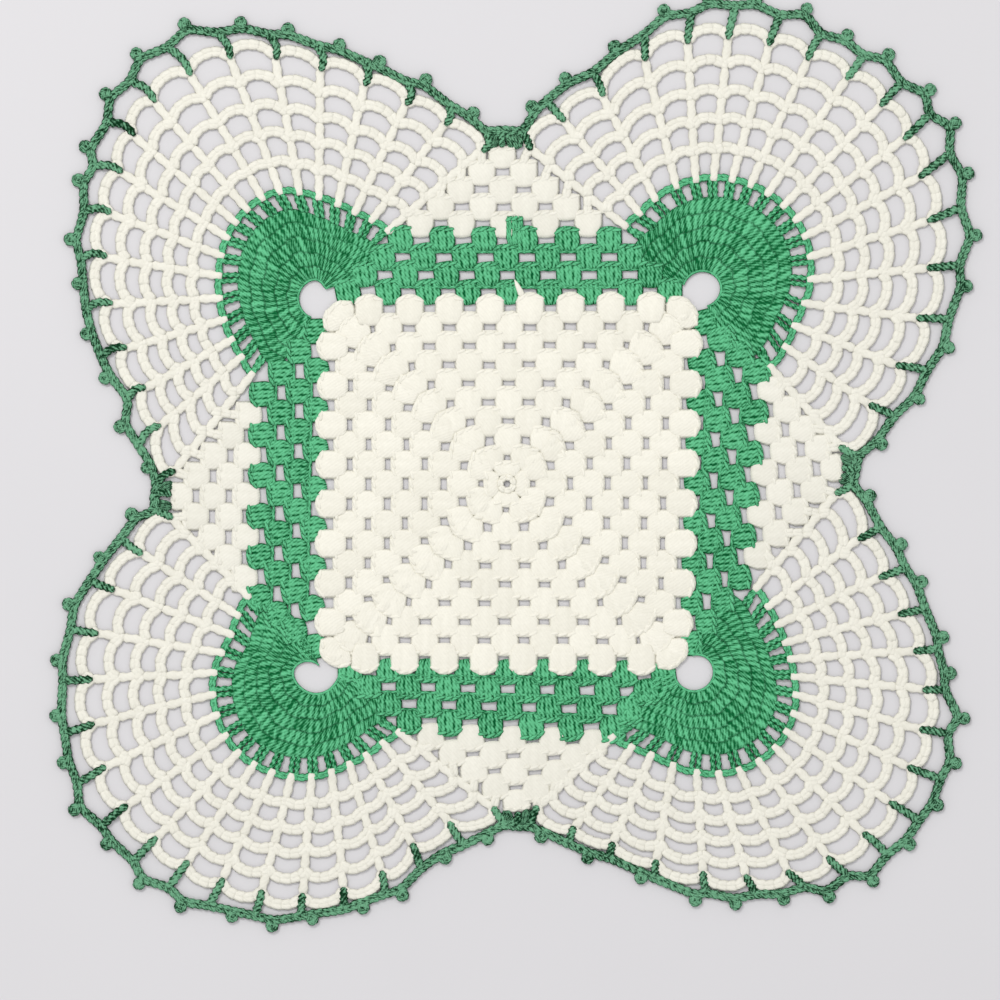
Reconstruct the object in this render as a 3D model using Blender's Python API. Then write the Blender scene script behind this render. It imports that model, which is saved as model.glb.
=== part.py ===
"""Crochet lace doily, lying flat.

Four pieces of cotton crochet are worked one round the other: an ivory granny square, a green band with a
fan at each corner, a wide ivory net that makes four lobes, and a green edging of legs, chain and picots.
Each piece is a flat plate with its true outline, on a common underside at z = 0. The origin is the middle
of the square. Tables are in millimetres and degrees. Every outline runs counter-clockwise, lobe by lobe,
from the top right one.
"""
import math

import bmesh
import bpy
import numpy as np

MM = 0.001

# Thickness of each piece, and the room between neighbouring pieces.
SQUARE_THICKNESS = 2.4
BAND_THICKNESS = 2.4
NET_THICKNESS = 2.0
EDGING_THICKNESS = 2.2
GAP = 0.3

# Net: 18 posts in each lobe, five rounds of cells between the band's rim and the edge.
POSTS = 18
ROUND_SHARES = (0.0, 0.16, 0.37, 0.57, 0.78, 1.0)
OPEN_ROUNDS = (3, 4, 5)
WIDE_CELLS_OF_ROUND_TWO = (7, 8, 9, 10)
POST_WIDTH = 2.6
CHAIN_WIDTH = 2.3
ARC_RISE = 0.27
ARC_ROOM = 0.6
ARC_SHOULDER = 0.3
SADDLE_SHARE = 0.12
EDGE_PLACES = (0.12, 0.27, 0.5, 0.73, 0.88)
RIM_KNOT_DEPTH = 1.2

# Edging: chain ring, legs down to the net, one picot between legs.
RING_WIDTH = 2.9
RING_RISE = 1.2
LEG_ROOT_WIDTH = 2.8
LEG_TIP_WIDTH = 2.0
TIP_ROOM = 0.65
PICOT_HEIGHT = 3.4
PICOT_WIDTH = 4.8

# Clusters of three stitches that interlock along the straight sides.
SQUARE_BUMPS = 8
BUMP_HALF_WIDTH = 4.7
BUMP_RISE = 2.9
TOOTH_HALF_WIDTH = 1.7
CORNER_TURNS = (-58, -20, 20, 58)
SIDE_CLUSTERS = 5
CLUSTER_MOUTH = 3.3
CLUSTER_TIP = 2.4
CLUSTER_DEPTH = 2.4

# One lobe after the other: its centre and what is measured there along most of its 18 posts.
# Columns: post, angle, rim radius of the band, radius of the net's edge, lean of the edging's leg,
# radius of the edging's chain.
LOBES = {
    "top_right": ((68.8, 69.1), (
        (0, -48.6, 38.5, 76.2, 1.5, 82.0),
        (1, -34.4, 37.6, 74.2, 1.2, 82.6),
        (2, -21.1, 37.0, 76.2, 1.5, 85.9),
        (4, 5.6, 40.5, 82.7, 0.0, 92.9),
        (6, 27.5, 43.0, 89.3, 1.4, 101.5),
        (8, 45.9, 43.5, 93.6, 0.2, 103.3),
        (10, 65.4, 43.0, 92.4, -0.3, 101.4),
        (12, 84.1, 42.0, 92.2, -0.8, 103.0),
        (14, 103.9, 40.0, 86.4, -1.2, 94.3),
        (15, 117.1, 38.4, 79.8, -0.4, 87.5),
        (16, 129.2, 37.0, 79.8, 0.2, 88.2),
        (17, 140.6, 37.5, 81.1, -2.0, 86.0),
    )),
    "top_left": ((-69.5, 68.4), (
        (0, 40.9, 35.0, 79.1, 2.7, 83.5),
        (2, 65.0, 33.0, 75.8, 2.0, 82.1),
        (4, 89.4, 35.5, 81.0, 1.1, 88.9),
        (6, 110.6, 40.0, 91.1, 0.8, 100.1),
        (7, 120.5, 40.6, 91.8, 1.2, 103.3),
        (8, 130.7, 40.5, 91.4, 1.1, 101.5),
        (10, 148.8, 39.5, 83.9, 2.0, 92.2),
        (12, 170.8, 37.5, 78.5, 1.4, 86.0),
        (14, 196.4, 36.5, 73.1, 0.6, 81.4),
        (15, 209.2, 36.8, 72.4, 0.4, 78.3),
        (16, 220.4, 37.5, 75.6, 0.5, 85.0),
        (17, 231.4, 39.5, 83.8, -1.2, 90.5),
    )),
    "bottom_left": ((-68.8, -67.0), (
        (0, 134.7, 38.0, 77.1, 1.5, 81.8),
        (1, 147.2, 36.5, 77.4, -0.4, 85.5),
        (2, 159.2, 35.5, 80.5, 0.0, 88.6),
        (4, 182.7, 39.5, 83.3, 0.0, 92.5),
        (6, 204.6, 42.0, 86.2, 0.8, 96.5),
        (8, 226.0, 43.5, 85.9, 0.0, 96.5),
        (10, 245.3, 42.5, 84.6, -0.4, 94.3),
        (12, 265.7, 40.5, 82.7, 0.0, 89.5),
        (14, 286.9, 37.5, 77.7, -0.8, 84.6),
        (15, 297.7, 36.8, 72.7, -1.0, 80.8),
        (16, 310.0, 36.5, 73.6, -0.8, 82.1),
        (17, 321.1, 38.0, 81.4, -1.2, 87.1),
    )),
    "bottom_right": ((64.4, -65.9), (
        (0, -137.1, 39.5, 76.1, 2.2, 81.7),
        (2, -113.4, 36.5, 70.9, 0.8, 75.2),
        (4, -86.4, 40.0, 75.8, 0.4, 82.0),
        (6, -64.7, 43.0, 83.2, 2.0, 89.6),
        (8, -44.1, 44.0, 88.1, 0.2, 98.3),
        (10, -25.0, 42.5, 87.8, 0.6, 98.9),
        (12, -6.0, 39.0, 85.7, 0.5, 92.0),
        (14, 13.7, 36.5, 78.5, -0.2, 87.0),
        (16, 36.8, 36.5, 77.0, -0.8, 84.6),
        (17, 49.6, 38.0, 82.3, -1.4, 87.5),
    )),
}

# The side that follows each lobe.
# Columns: first and last ivory cluster on the band's rim, the chain in the notch, the leg's tip in it.
SIDES = {
    "top_right": ((27.7, 90.5), (-32.8, 90.5), (-3.2, 126.7), (-3.2, 121.3)),
    "top_left": ((-92.5, 24.1), (-93.8, -34.6), (-128.7, -5.8), (-123.1, -5.0)),
    "bottom_left": ((-29.2, -89.6), (29.4, -92.0), (2.3, -124.2), (2.5, -119.5)),
    "bottom_right": ((86.0, -26.6), (91.1, 33.1), (124.4, 4.4), (119.9, 5.2)),
}

# The square's side after each corner, corners in the order of the lobes.
# Columns: first bump, last bump, the corner's own cluster, its radius.
SQUARE_SIDES = {
    "top_right": ((50.0, 66.6), (-51.1, 66.6), (64.8, 61.6), 4.2),
    "top_left": ((-68.0, 47.5), (-69.8, -51.8), (-63.0, 62.3), 4.2),
    "bottom_left": ((-51.1, -65.9), (47.5, -67.0), (-65.2, -63.7), 4.2),
    "bottom_right": ((63.4, -51.1), (67.3, 49.7), (59.0, -62.6), 4.2),
}

# Eyelet between the square's corner and the fan. Columns: centre, half width, half height, way out.
EYELETS = {
    "top_right": ((68.8, 69.5), 6.5, 6.1, 45),
    "top_left": ((-70.9, 65.9), 5.0, 6.5, 135),
    "bottom_left": ((-70.2, -71.6), 7.6, 4.3, 225),
    "bottom_right": ((66.2, -69.1), 6.1, 5.8, 315),
}
EYELET_SWEEP = 110
EYELET_POINTS = 10

IVORY = (0.86, 0.83, 0.75, 1.0)
GREEN = (0.03, 0.35, 0.13, 1.0)


def polar(angle):
    """Unit vector at an angle in degrees."""
    turn = math.radians(angle)
    return np.array((math.cos(turn), math.sin(turn)))


def unit(vector):
    return vector / np.hypot(vector[0], vector[1])


def left_of(vector):
    """The vector turned a quarter counter-clockwise."""
    return np.array((-vector[1], vector[0]))


def smooth(at, places, values):
    """Cubic curve through a table's rows, with the slope of the rows around each one."""
    slopes = np.gradient(values, places)
    row = min(int(np.searchsorted(places, at, side="right")) - 1, len(places) - 2)
    span = places[row + 1] - places[row]
    t = (at - places[row]) / span
    start = values[row] * (1 + 2 * t) * (1 - t) ** 2 + slopes[row] * span * t * (1 - t) ** 2
    end = values[row + 1] * t * t * (3 - 2 * t) + slopes[row + 1] * span * t * t * (t - 1)
    return start + end


def lobe_value(lobe, column, post):
    """A measured column of a lobe's table at any post, whole or between two."""
    table = np.array(LOBES[lobe][1], dtype=float)
    return smooth(post, table[:, 0], table[:, column])


def lobe_point(lobe, post, radius):
    return np.array(LOBES[lobe][0]) + radius * polar(lobe_value(lobe, 1, post))


def level_radius(lobe, post, level):
    """Radius of the chain between two rounds, from the rim, level 0, to the edge, level 5."""
    rim = lobe_value(lobe, 2, post)
    edge = lobe_value(lobe, 3, post) - CHAIN_WIDTH / 2
    return rim + ROUND_SHARES[level] * (edge - rim)


def arc_rise(lobe, post, level):
    """How far the chain swings out between a post and the next one, short of the edging's chain."""
    start = lobe_point(lobe, post, level_radius(lobe, post, level))
    end = lobe_point(lobe, post + 1, level_radius(lobe, post + 1, level))
    rise = ARC_RISE * np.hypot(*(end - start))
    if level < len(ROUND_SHARES) - 1:
        return rise
    between = post + 0.5
    room = lobe_value(lobe, 5, between) - lobe_value(lobe, 3, between) - RING_WIDTH / 2 - ARC_ROOM
    return min(rise, room)


def chain_point(lobe, post, t, level, out):
    """Point at a share t of the way from a post to the next, a little out from the chain's middle."""
    swing = math.sin(math.pi * np.clip((t - SADDLE_SHARE) / (1 - 2 * SADDLE_SHARE), 0, 1))
    radius = level_radius(lobe, post + t, level) + arc_rise(lobe, post, level) * swing
    return lobe_point(lobe, post + t, radius + out)


def offset(outline, distance):
    """Closed outline moved outwards by a distance, with mitred corners."""
    points = np.array(outline)
    before = points - np.roll(points, 1, axis=0)
    after = np.roll(points, -1, axis=0) - points
    before /= np.hypot(before[:, 0], before[:, 1])[:, None]
    after /= np.hypot(after[:, 0], after[:, 1])[:, None]
    outward = np.stack((before[:, 1] + after[:, 1], -before[:, 0] - after[:, 0]), axis=1)
    outward /= np.hypot(outward[:, 0], outward[:, 1])[:, None]
    half_turn = outward[:, 0] * after[:, 1] - outward[:, 1] * after[:, 0]
    return points + outward * (distance / np.maximum(half_turn, 0.5))[:, None]


# Seams between the pieces


def square_side(corner):
    """Rounded bumps of the square along one side, with the band's teeth in the valleys between them."""
    first, last = (np.array(point) for point in SQUARE_SIDES[corner][:2])
    along = unit(last - first)
    outward = -left_of(along)
    pitch = (last - first) / (SQUARE_BUMPS - 1)
    valley = np.hypot(*pitch) / 2 - TOOTH_HALF_WIDTH
    bump = ((-BUMP_HALF_WIDTH, 0.0), (-0.72 * BUMP_HALF_WIDTH, 0.8 * BUMP_RISE), (0.0, BUMP_RISE),
            (0.72 * BUMP_HALF_WIDTH, 0.8 * BUMP_RISE), (BUMP_HALF_WIDTH, 0.0))
    points = [first - pitch / 2 - TOOTH_HALF_WIDTH * along - BUMP_RISE * outward]
    for number in range(SQUARE_BUMPS):
        middle = first + number * pitch
        points.append(middle - valley * along - BUMP_RISE * outward)
        points.extend(middle + run * along + rise * outward for run, rise in bump)
        points.append(middle + valley * along - BUMP_RISE * outward)
    points.append(last + pitch / 2 + TOOTH_HALF_WIDTH * along - BUMP_RISE * outward)
    return points


def square_corner(corner):
    """The round corner cluster of the square."""
    middle, radius = SQUARE_SIDES[corner][2:]
    way_out = EYELETS[corner][3]
    return [np.array(middle) + radius * polar(way_out + turn) for turn in CORNER_TURNS]


def eyelet(corner):
    """The fan's edge round the eyelet: an arc of an ellipse, open towards the square."""
    middle, half_width, half_height, way_out = EYELETS[corner]
    turns = np.linspace(-EYELET_SWEEP, EYELET_SWEEP, EYELET_POINTS)
    points = [np.array(middle) + (half_width, half_height) * polar(way_out + turn) for turn in turns]
    return [square_corner(corner)[0]] + points


def square_seam(corner_shape):
    """Seam round the square, with a shape of the corners' own."""
    outline = []
    for corner in SQUARE_SIDES:
        outline.extend(corner_shape(corner))
        outline.extend(square_side(corner))
    return outline


def rim_lobe(lobe):
    """The band's rim under a lobe, drawn in a little at each of the net's posts."""
    outline = []
    for post in range(POSTS):
        depth = RIM_KNOT_DEPTH if 0 < post < POSTS - 1 else 0.0
        outline.append(lobe_point(lobe, post, lobe_value(lobe, 2, post) - depth))
        if post < POSTS - 1:
            outline.append(lobe_point(lobe, post + 0.5, lobe_value(lobe, 2, post + 0.5)))
    return outline


def rim_side(lobe):
    """The band's rim along a side, where the net's clusters reach in between the band's own."""
    first, last = (np.array(point) for point in SIDES[lobe][:2])
    along = unit(last - first)
    inward = left_of(along)
    outline = []
    for number in range(SIDE_CLUSTERS):
        middle = first + (last - first) * number / (SIDE_CLUSTERS - 1)
        outline.append(middle - CLUSTER_MOUTH * along - CLUSTER_DEPTH * inward)
        outline.append(middle - CLUSTER_TIP * along + CLUSTER_DEPTH * inward)
        outline.append(middle + CLUSTER_TIP * along + CLUSTER_DEPTH * inward)
        outline.append(middle + CLUSTER_MOUTH * along - CLUSTER_DEPTH * inward)
    return outline


def rim_seam():
    outline = []
    for lobe in LOBES:
        outline.extend(rim_lobe(lobe))
        outline.extend(rim_side(lobe))
    return outline


# Ivory net


def net_edge():
    """Outer edge of the net: a flat saddle at each leg, an arc of chain between, a tip in each notch."""
    outline = []
    for lobe in LOBES:
        outline.append(lobe_point(lobe, 0, lobe_value(lobe, 3, 0)))
        for post in range(POSTS - 1):
            outline.extend(chain_point(lobe, post, t, 5, CHAIN_WIDTH / 2) for t in EDGE_PLACES)
        outline.append(lobe_point(lobe, POSTS - 1, lobe_value(lobe, 3, POSTS - 1)))
        outline.append(np.array(SIDES[lobe][3]))
    return outline


def cell(lobe, post, level):
    """One open cell of the net, between two posts and two arcs of chain."""
    start = lobe_point(lobe, post, level_radius(lobe, post, level))
    end = lobe_point(lobe, post + 1, level_radius(lobe, post + 1, level))
    flank = POST_WIDTH / 2 / np.hypot(*(end - start))
    places = (flank, ARC_SHOULDER, 1 - ARC_SHOULDER, 1 - flank)
    near = [chain_point(lobe, post, t, level - 1, CHAIN_WIDTH / 2) for t in places]
    far = [chain_point(lobe, post, t, level, -CHAIN_WIDTH / 2) for t in reversed(places)]
    return near + far


def cells():
    """The widest 220 cells of the net: rounds three to five, and the middle of round two."""
    outlines = []
    for lobe in LOBES:
        for level in OPEN_ROUNDS:
            outlines.extend(cell(lobe, post, level) for post in range(POSTS - 1))
        outlines.extend(cell(lobe, post, 2) for post in WIDE_CELLS_OF_ROUND_TWO)
    return outlines


# Green edging


def leg_tip(lobe, post):
    """Both corners of a leg's tip, laid along the net's edge and never past the lobe's last posts."""
    spacing = lobe_value(lobe, 1, post + 0.5) - lobe_value(lobe, 1, post - 0.5)
    share = LEG_TIP_WIDTH / 2 / (math.radians(spacing) * lobe_value(lobe, 3, post))
    middle = min(max(post, share), POSTS - 1 - share)
    corners = (middle - share, middle + share)
    return [lobe_point(lobe, corner, lobe_value(lobe, 3, corner) + TIP_ROOM) for corner in corners]


def leg_stations():
    """Each leg in turn: its root on the chain, its tip's two corners, and whether a picot follows it."""
    stations = []
    for lobe in LOBES:
        for post in range(POSTS):
            way_out = polar(lobe_value(lobe, 1, post) + lobe_value(lobe, 4, post))
            root = np.array(LOBES[lobe][0]) + lobe_value(lobe, 5, post) * way_out
            stations.append((root, leg_tip(lobe, post), post < POSTS - 1))
        root, foot = (np.array(point) for point in SIDES[lobe][2:])
        up = unit(root - foot)
        corners = [foot + TIP_ROOM * up + side * left_of(up) * LEG_TIP_WIDTH / 2 for side in (-1, 1)]
        stations.append((root, corners, False))
    return stations


def leg_outline(root, corners, along, outward):
    """A leg's two flanks, from the chain down to its tip and back."""
    foot = root - outward * RING_WIDTH / 2
    return [foot - along * LEG_ROOT_WIDTH / 2] + corners + [foot + along * LEG_ROOT_WIDTH / 2]


def picot_outline(middle, along, outward):
    """A small knob on the chain's outer side."""
    shape = ((-0.42, 0.0), (-0.5, 0.62), (0.0, 1.0), (0.5, 0.62), (0.42, 0.0))
    base = middle + outward * RING_WIDTH / 2
    return [base + along * run * PICOT_WIDTH + outward * rise * PICOT_HEIGHT for run, rise in shape]


def edging_outlines():
    """Outer outline with the picots, and inner outline with the legs."""
    stations = leg_stations()
    outer = []
    inner = []
    for number, (root, corners, has_picot) in enumerate(stations):
        before = stations[number - 1][0]
        after = stations[(number + 1) % len(stations)][0]
        along = unit(after - before)
        outward = -left_of(along)
        outer.append(root + outward * RING_WIDTH / 2)
        inner.extend(leg_outline(root, corners, along, outward))
        along = unit(after - root)
        outward = -left_of(along)
        rise = RING_RISE if has_picot else 0.0
        middle = (root + after) / 2 + outward * rise
        inner.append(middle - outward * RING_WIDTH / 2)
        if has_picot:
            outer.extend(picot_outline(middle, along, outward))
    return [outer, inner]


# Objects


def cotton(name, colour):
    material = bpy.data.materials.new(name)
    material.use_nodes = True
    shader = material.node_tree.nodes["Principled BSDF"]
    shader.inputs["Base Color"].default_value = colour
    shader.inputs["Roughness"].default_value = 0.85
    shader.inputs["Metallic"].default_value = 0.0
    material.diffuse_color = colour
    return material


def flat_plate(name, outlines, thickness, material, collection):
    """Plate inside the first outline, open inside the others, made a mesh with its caps welded."""
    curve = bpy.data.curves.new(name + "_outline", "CURVE")
    curve.dimensions = "2D"
    curve.fill_mode = "BOTH"
    curve.extrude = thickness * MM / 2
    for outline in outlines:
        spline = curve.splines.new("POLY")
        spline.points.add(len(outline) - 1)
        spline.use_cyclic_u = True
        for point, (x, y) in zip(spline.points, outline):
            point.co = (x * MM, y * MM, 0.0, 1.0)
    drawn = bpy.data.objects.new(name + "_outline", curve)
    drawn.location.z = thickness * MM / 2
    bpy.context.scene.collection.objects.link(drawn)
    bpy.context.view_layer.update()
    evaluated = drawn.evaluated_get(bpy.context.evaluated_depsgraph_get())
    mesh = bpy.data.meshes.new_from_object(evaluated)
    shape = bmesh.new()
    shape.from_mesh(mesh)
    bmesh.ops.remove_doubles(shape, verts=shape.verts, dist=0.00001)
    bmesh.ops.recalc_face_normals(shape, faces=shape.faces)
    shape.to_mesh(mesh)
    shape.free()
    plate = bpy.data.objects.new(name, mesh)
    plate.matrix_world = drawn.matrix_world
    plate.data.materials.clear()
    plate.data.materials.append(material)
    collection.objects.link(plate)
    bpy.data.objects.remove(drawn)
    bpy.data.curves.remove(curve)
    return plate


def build():
    for old in list(bpy.data.objects):
        bpy.data.objects.remove(old)
    collection = bpy.data.collections.new("lace_doily")
    bpy.context.scene.collection.children.link(collection)
    ivory = cotton("ivory_cotton", IVORY)
    green = cotton("green_cotton", GREEN)

    square = [offset(square_seam(square_corner), -GAP / 2)]
    band = [offset(rim_seam(), -GAP / 2), offset(square_seam(eyelet), GAP / 2)]
    border = [net_edge(), offset(rim_seam(), GAP / 2)] + cells()
    flat_plate("centre_square", square, SQUARE_THICKNESS, ivory, collection)
    flat_plate("green_band", band, BAND_THICKNESS, green, collection)
    flat_plate("ivory_border", border, NET_THICKNESS, ivory, collection)
    flat_plate("picot_edging", edging_outlines(), EDGING_THICKNESS, green, collection)


build()
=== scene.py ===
"""Crochet lace doily, lying flat: its yarn, stitch by stitch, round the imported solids.

Four pieces are worked one round the other: an ivory granny square, a green band with a fan at each corner, an
ivory net that makes four lobes, and a green edging of legs, chain and picots. Tables are in millimetres and
degrees, in the frame of the solids, with the underside at z = 0. Chains and tall stitches are closed strands
of yarn, a cluster is one closed body of three stitches, and the close part of a fan is one closed web.
"""

import math

import bpy
import numpy as np
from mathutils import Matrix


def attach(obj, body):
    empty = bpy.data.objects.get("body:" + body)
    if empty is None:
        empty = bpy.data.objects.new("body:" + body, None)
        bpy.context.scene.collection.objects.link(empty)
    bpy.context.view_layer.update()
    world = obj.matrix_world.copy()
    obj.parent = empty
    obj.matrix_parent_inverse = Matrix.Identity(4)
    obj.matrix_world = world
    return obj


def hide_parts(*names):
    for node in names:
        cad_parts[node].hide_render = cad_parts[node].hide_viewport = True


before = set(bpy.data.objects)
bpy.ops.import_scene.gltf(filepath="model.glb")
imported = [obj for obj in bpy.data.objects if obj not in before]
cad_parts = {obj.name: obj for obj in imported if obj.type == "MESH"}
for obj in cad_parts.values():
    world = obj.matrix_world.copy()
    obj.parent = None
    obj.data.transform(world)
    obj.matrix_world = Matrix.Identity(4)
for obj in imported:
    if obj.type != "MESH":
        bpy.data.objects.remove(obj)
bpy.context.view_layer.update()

MM = 0.001
rng = np.random.default_rng(7)

# Net: 18 posts in each lobe, and five rounds of cells at these shares of the way from the band's rim to the edge.
# An arc stands out by a share of its width, and the outermost ones leave some room to the edging's chain.
POSTS = 18
ROUND_SHARES = (0.0, 0.16, 0.37, 0.57, 0.78, 1.0)
CHAIN_WIDTH = 2.3
ARC_RISE = 0.27
ARC_ROOM = 0.6
RING_WIDTH = 2.9

# Bumps on each side of the square, ivory clusters on each side of the band, and how many bumps along the first is.
SQUARE_BUMPS = 8
SIDE_CLUSTERS = 5
BUMPS_BEFORE = 1.5

# Each lobe: its centre, and rows for most of its posts. Columns: post, angle, radius of the band's rim and of the
# net's edge, lean of the edging's leg, radius of the edging's chain.
LOBES = {
    "top_right": ((68.8, 69.1), (
        (0, -48.6, 38.5, 76.2, 1.5, 82.0),
        (1, -34.4, 37.6, 74.2, 1.2, 82.6),
        (2, -21.1, 37.0, 76.2, 1.5, 85.9),
        (4, 5.6, 40.5, 82.7, 0.0, 92.9),
        (6, 27.5, 43.0, 89.3, 1.4, 101.5),
        (8, 45.9, 43.5, 93.6, 0.2, 103.3),
        (10, 65.4, 43.0, 92.4, -0.3, 101.4),
        (12, 84.1, 42.0, 92.2, -0.8, 103.0),
        (14, 103.9, 40.0, 86.4, -1.2, 94.3),
        (15, 117.1, 38.4, 79.8, -0.4, 87.5),
        (16, 129.2, 37.0, 79.8, 0.2, 88.2),
        (17, 140.6, 37.5, 81.1, -2.0, 86.0),
    )),
    "top_left": ((-69.5, 68.4), (
        (0, 40.9, 35.0, 79.1, 2.7, 83.5),
        (2, 65.0, 33.0, 75.8, 2.0, 82.1),
        (4, 89.4, 35.5, 81.0, 1.1, 88.9),
        (6, 110.6, 40.0, 91.1, 0.8, 100.1),
        (7, 120.5, 40.6, 91.8, 1.2, 103.3),
        (8, 130.7, 40.5, 91.4, 1.1, 101.5),
        (10, 148.8, 39.5, 83.9, 2.0, 92.2),
        (12, 170.8, 37.5, 78.5, 1.4, 86.0),
        (14, 196.4, 36.5, 73.1, 0.6, 81.4),
        (15, 209.2, 36.8, 72.4, 0.4, 78.3),
        (16, 220.4, 37.5, 75.6, 0.5, 85.0),
        (17, 231.4, 39.5, 83.8, -1.2, 90.5),
    )),
    "bottom_left": ((-68.8, -67.0), (
        (0, 134.7, 38.0, 77.1, 1.5, 81.8),
        (1, 147.2, 36.5, 77.4, -0.4, 85.5),
        (2, 159.2, 35.5, 80.5, 0.0, 88.6),
        (4, 182.7, 39.5, 83.3, 0.0, 92.5),
        (6, 204.6, 42.0, 86.2, 0.8, 96.5),
        (8, 226.0, 43.5, 85.9, 0.0, 96.5),
        (10, 245.3, 42.5, 84.6, -0.4, 94.3),
        (12, 265.7, 40.5, 82.7, 0.0, 89.5),
        (14, 286.9, 37.5, 77.7, -0.8, 84.6),
        (15, 297.7, 36.8, 72.7, -1.0, 80.8),
        (16, 310.0, 36.5, 73.6, -0.8, 82.1),
        (17, 321.1, 38.0, 81.4, -1.2, 87.1),
    )),
    "bottom_right": ((64.4, -65.9), (
        (0, -137.1, 39.5, 76.1, 2.2, 81.7),
        (2, -113.4, 36.5, 70.9, 0.8, 75.2),
        (4, -86.4, 40.0, 75.8, 0.4, 82.0),
        (6, -64.7, 43.0, 83.2, 2.0, 89.6),
        (8, -44.1, 44.0, 88.1, 0.2, 98.3),
        (10, -25.0, 42.5, 87.8, 0.6, 98.9),
        (12, -6.0, 39.0, 85.7, 0.5, 92.0),
        (14, 13.7, 36.5, 78.5, -0.2, 87.0),
        (16, 36.8, 36.5, 77.0, -0.8, 84.6),
        (17, 49.6, 38.0, 82.3, -1.4, 87.5),
    )),
}

# Picots, one between each two legs of a lobe: angle and radius of the outside.
PICOTS = {
    "top_right": (
        (-40.7, 87.5), (-26.7, 90.0), (-13.2, 93.6), (0.8, 97.6), (11.3, 103.0), (23.7, 106.9),
        (33.4, 111.6), (41.3, 111.6), (51.6, 110.5), (60.3, 108.0), (69.6, 110.5), (79.5, 109.1),
        (88.8, 107.6), (97.8, 104.0), (109.8, 95.4), (122.9, 93.2), (132.9, 92.5),
    ),
    "top_left": (
        (49, 87.8), (63, 88.2), (75, 88.2), (85, 91.8), (96.5, 97.6), (106, 103.3),
        (116.5, 110.2), (127.3, 110.2), (137, 106.9), (148, 101.2), (155, 97.6), (168, 93.6),
        (178, 88.9), (190.3, 87.1), (202, 85.0), (214.3, 88.6), (225.8, 90.7),
    ),
    "bottom_left": (
        (140.7, 90.0), (153.3, 91.4), (165.7, 95.8), (178.3, 97.2), (190.2, 99.0), (200.2, 100.8),
        (210, 104.4), (219.5, 101.9), (230, 103.7), (239.7, 101.9), (250.5, 97.2), (259.5, 96.8),
        (268.3, 92.9), (280.2, 90.0), (290, 89.3), (303.5, 84.2), (314.5, 88.6),
    ),
    "bottom_right": (
        (-131, 84.2), (-118, 81.0), (-103, 81.0), (-88.7, 87.1), (-79.2, 90.0), (-68.2, 93.2),
        (-59, 99.7), (-49.7, 104.4), (-39.2, 104.4), (-29.5, 104.8), (-20.3, 104.4), (-11, 103.0),
        (-1.8, 96.1), (6.3, 94.0), (19.8, 91.1), (29.8, 90.0), (43.3, 91.4),
    ),
}

# The side after each lobe. Columns: first and last ivory cluster on the band's rim, the chain and the leg's tip in
# the notch.
SIDES = {
    "top_right": ((27.7, 90.5), (-32.8, 90.5), (-3.2, 126.7), (-3.2, 121.3)),
    "top_left": ((-92.5, 24.1), (-93.8, -34.6), (-128.7, -5.8), (-123.1, -5.0)),
    "bottom_left": ((-29.2, -89.6), (29.4, -92.0), (2.3, -124.2), (2.5, -119.5)),
    "bottom_right": ((86.0, -26.6), (91.1, 33.1), (124.4, 4.4), (119.9, 5.2)),
}

# First and last bump of the square on the side after each corner.
SQUARE_SIDES = {
    "top_right": ((50.0, 66.6), (-51.1, 66.6)),
    "top_left": ((-68.0, 47.5), (-69.8, -51.8)),
    "bottom_left": ((-51.1, -65.9), (47.5, -67.0)),
    "bottom_right": ((63.4, -51.1), (67.3, 49.7)),
}

# Eyelet between the square's corner and the fan. Columns: centre, half width, half height.
EYELETS = {
    "top_right": ((68.8, 69.5), 6.5, 6.1),
    "top_left": ((-70.9, 65.9), 5.0, 6.5),
    "bottom_left": ((-70.2, -71.6), 7.6, 4.3),
    "bottom_right": ((66.2, -69.1), 6.1, 5.8),
}

# Clusters of three stitches: length, width at the foot, where it is worked in, and at the head. The band's rows
# have foot widths of their own.
SQUARE_CLUSTER = (11.5, 7.3, 10.4)
BAND_CLUSTER = (9.5, 9.3)
TRIANGLE_CLUSTER = (10.0, 6.8, 10.3)

# Square: ten rounds of clusters. The two at a corner lean away from the space in it, and their heads are drawn in
# and down, in the last round further than in the others.
SQUARE_ROUNDS = 10
FIRST_ROUND_TOP = 8.3
FIRST_ROUND_FOOT = 2.2
ROUND_PITCH = 6.73
CLUSTER_PITCH = 14.3
CORNER_HOLE = 5.2
CORNER_LEAN = 0.4
CORNER_DRAW = (0.2, 1.1)
LAST_CORNER_DRAW = (2.6, 2.4)
IDEAL_HALF = 66.6

# How round the heads are and how high the clusters lie, in the inner rounds and in the last.
SQUARE_ROUND_OFF = (0.5, 2.4)
SQUARE_LOW = (0.65, 0.95)

# Radius of the ring of chain in the middle. The loose end of yarn on the top side: its two ends, its heights and
# half widths.
START_RING = 2.6
LOOSE_END = ((4.4, 66.2), (1.3, 72.7))
LOOSE_END_HEIGHTS = (1.1, 1.5, 1.7, 1.75, 1.7)
LOOSE_END_WIDTHS = (1.5, 0.5)

# Band: four rounds of clusters on each side, as shares of the way from the square's bumps to the rim. Columns:
# place of the first cluster, count, width at the foot, height of the middle, swell above it, how round the head is.
BAND_FIRST_TOP = 0.272
BAND_PITCH = 0.266
BAND_ROWS = (
    (-1.0, 7, 5.8, 0.56, 0.78, 0.5),
    (-1.5, 8, 7.0, 0.75, 0.95, 0.5),
    (-1.0, 7, 7.0, 0.75, 0.95, 0.5),
    (-0.5, 6, 7.0, 0.75, 0.95, 1.2),
)
CORD_SHARE = 0.125
CORD_HEIGHT = 0.85

# The wide clusters beside the eyelets: places, shares at foot and head, widths.
END_TEETH = (-1.98, 6.0)
TOOTH_REACH = (-0.14, 0.3)
TOOTH_WIDTHS = (8.0, 9.2)

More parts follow.
